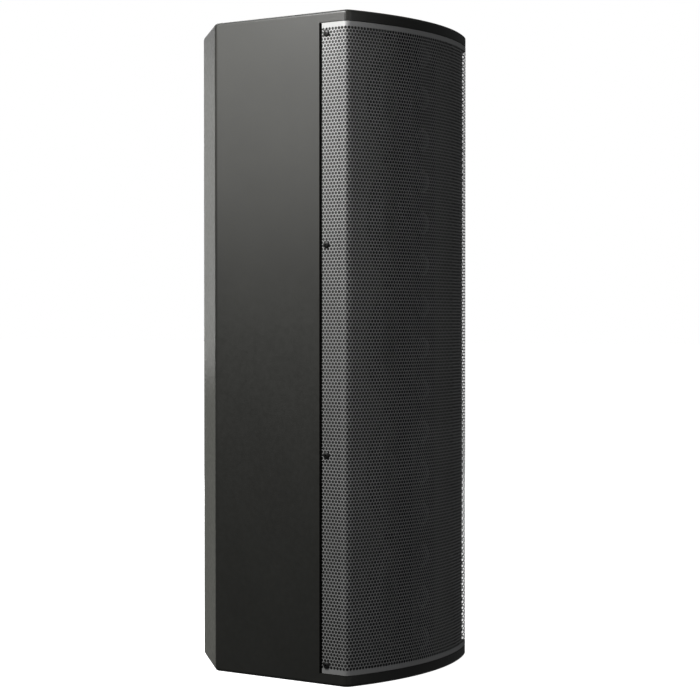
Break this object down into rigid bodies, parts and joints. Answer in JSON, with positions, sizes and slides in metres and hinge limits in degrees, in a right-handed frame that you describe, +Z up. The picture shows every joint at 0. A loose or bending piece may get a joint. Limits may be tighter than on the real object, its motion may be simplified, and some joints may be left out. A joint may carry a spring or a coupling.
{
  "type": "line array speaker",
  "caption": "Upright column line array loudspeaker with a curved perforated front, angled rear corners, woofers behind a tweeter line and a recessed rear amplifier.",
  "frame": {"origin": "under the middle of the box's bounding box, on the plane it stands on", "axes": "+Z up along the column, -Y out of the curved front, +X to the right seen from the front"},
  "size_m": [0.296, 0.334, 0.85],
  "materials": {
    "cabinet_paint": "fine-textured satin black paint on birch plywood",
    "plywood": "raw birch plywood",
    "wadding": "matt polyester felt",
    "zinc_steel": "zinc plated",
    "grille_steel": "satin black powder coat",
    "black_steel": "black oxide",
    "black_foam": "matt closed-cell foam",
    "cast_frame": "black painted casting",
    "surround_rubber": "satin butyl rubber",
    "spider_cloth": "resin-stiffened cloth",
    "ferrite": "matt ferrite",
    "cone_paper": "pressed black paper",
    "coil_copper": "varnished copper wire",
    "black_aluminium": "black anodised",
    "black_plastic": "fine-grained",
    "dome_cloth": "coated silk",
    "tray_aluminium": "black powder coat",
    "brass_pillars": "plain",
    "circuit_board": "green solder mask",
    "gloss_black": "gloss",
    "black_metal": "black chrome",
    "nickel_shell": "nickel plated",
    "grey_plastic": "satin",
    "green_lens": "clear green"
  },
  "bodies": {
    "cabinet": {"top_panel": "cabinet_paint", "bottom_panel": "cabinet_paint", "side_panel_left": "cabinet_paint", "side_panel_right": "cabinet_paint", "angled_panel_left": "cabinet_paint", "angled_panel_right": "cabinet_paint", "back_panel": "cabinet_paint", "baffle": "cabinet_paint", "shelf_braces": "plywood", "damping_pads": "wadding", "threaded_inserts": "zinc_steel", "grille": "grille_steel", "grille_screws": "black_steel", "grille_gaskets": "black_foam", "woofer_frames": "cast_frame", "woofer_gaskets": "black_foam", "woofer_screws": "black_steel", "woofer_surrounds": "surround_rubber", "woofer_spiders": "spider_cloth", "woofer_magnets": "ferrite", "woofer_top_plates": "zinc_steel", "woofer_yokes": "zinc_steel", "hf_bar": "black_aluminium", "hf_brackets": "black_aluminium", "hf_faceplates": "black_plastic", "hf_magnets": "zinc_steel", "hf_screws": "black_steel", "amp_tray": "tray_aluminium", "chassis_plate": "tray_aluminium", "power_plate": "tray_aluminium", "tray_gasket": "black_foam", "tray_screws": "black_steel", "heatsink": "black_aluminium", "board_standoffs": "brass_pillars", "amp_board": "circuit_board", "power_board": "circuit_board", "control_board": "circuit_board", "power_inlet": "black_plastic", "switch_bezel": "black_plastic", "signal_input": "black_metal", "input_insert": "black_plastic", "connector_screws": "zinc_steel", "network_jacks": "nickel_shell", "status_lenses": "green_lens"},
    "diaphragm_1": {"cone_1": "cone_paper", "voice_coil_1": "coil_copper"},
    "diaphragm_2": {"cone_2": "cone_paper", "voice_coil_2": "coil_copper"},
    "diaphragm_3": {"cone_3": "cone_paper", "voice_coil_3": "coil_copper"},
    "diaphragm_4": {"cone_4": "cone_paper", "voice_coil_4": "coil_copper"},
    "diaphragm_5": {"cone_5": "cone_paper", "voice_coil_5": "coil_copper"},
    "dome_line": {"hf_domes": "dome_cloth"},
    "rocker": {"power_rocker": "gloss_black"},
    "knob": {"level_knob": "black_plastic"},
    "button": {"preset_button": "grey_plastic"},
    "latch": {"input_latch": "black_metal"}
  },
  "joints": [
    {"name": "cone_1_stroke", "type": "slide", "parent": "cabinet", "child": "diaphragm_1", "axis": [0, -1, 0], "range_m": [-0.004, 0.004], "stiffness_N_per_m": 1500},
    {"name": "cone_2_stroke", "type": "slide", "parent": "cabinet", "child": "diaphragm_2", "axis": [0, -1, 0], "range_m": [-0.004, 0.004], "stiffness_N_per_m": 1500},
    {"name": "cone_3_stroke", "type": "slide", "parent": "cabinet", "child": "diaphragm_3", "axis": [0, -1, 0], "range_m": [-0.004, 0.004], "stiffness_N_per_m": 1500},
    {"name": "cone_4_stroke", "type": "slide", "parent": "cabinet", "child": "diaphragm_4", "axis": [0, -1, 0], "range_m": [-0.004, 0.004], "stiffness_N_per_m": 1500},
    {"name": "cone_5_stroke", "type": "slide", "parent": "cabinet", "child": "diaphragm_5", "axis": [0, -1, 0], "range_m": [-0.004, 0.004], "stiffness_N_per_m": 1500},
    {"name": "dome_stroke", "type": "slide", "parent": "cabinet", "child": "dome_line", "axis": [0, -1, 0], "range_m": [-0.0003, 0.0003], "stiffness_N_per_m": 3000},
    {"name": "power_switch", "type": "hinge", "parent": "cabinet", "child": "rocker", "pos_m": [0, 0.1185, 0.272], "axis": [0, 0, 1], "range_deg": [-18, 0]},
    {"name": "level_turn", "type": "hinge", "parent": "cabinet", "child": "knob", "pos_m": [-0.019, 0.118, 0.35], "axis": [0, 1, 0], "range_deg": [-150, 150]},
    {"name": "preset_press", "type": "slide", "parent": "cabinet", "child": "button", "axis": [0, -1, 0], "range_m": [0, 0.0012], "stiffness_N_per_m": 400},
    {"name": "latch_press", "type": "slide", "parent": "cabinet", "child": "latch", "axis": [0, -1, 0], "range_m": [0, 0.0015], "stiffness_N_per_m": 600}
  ]
}
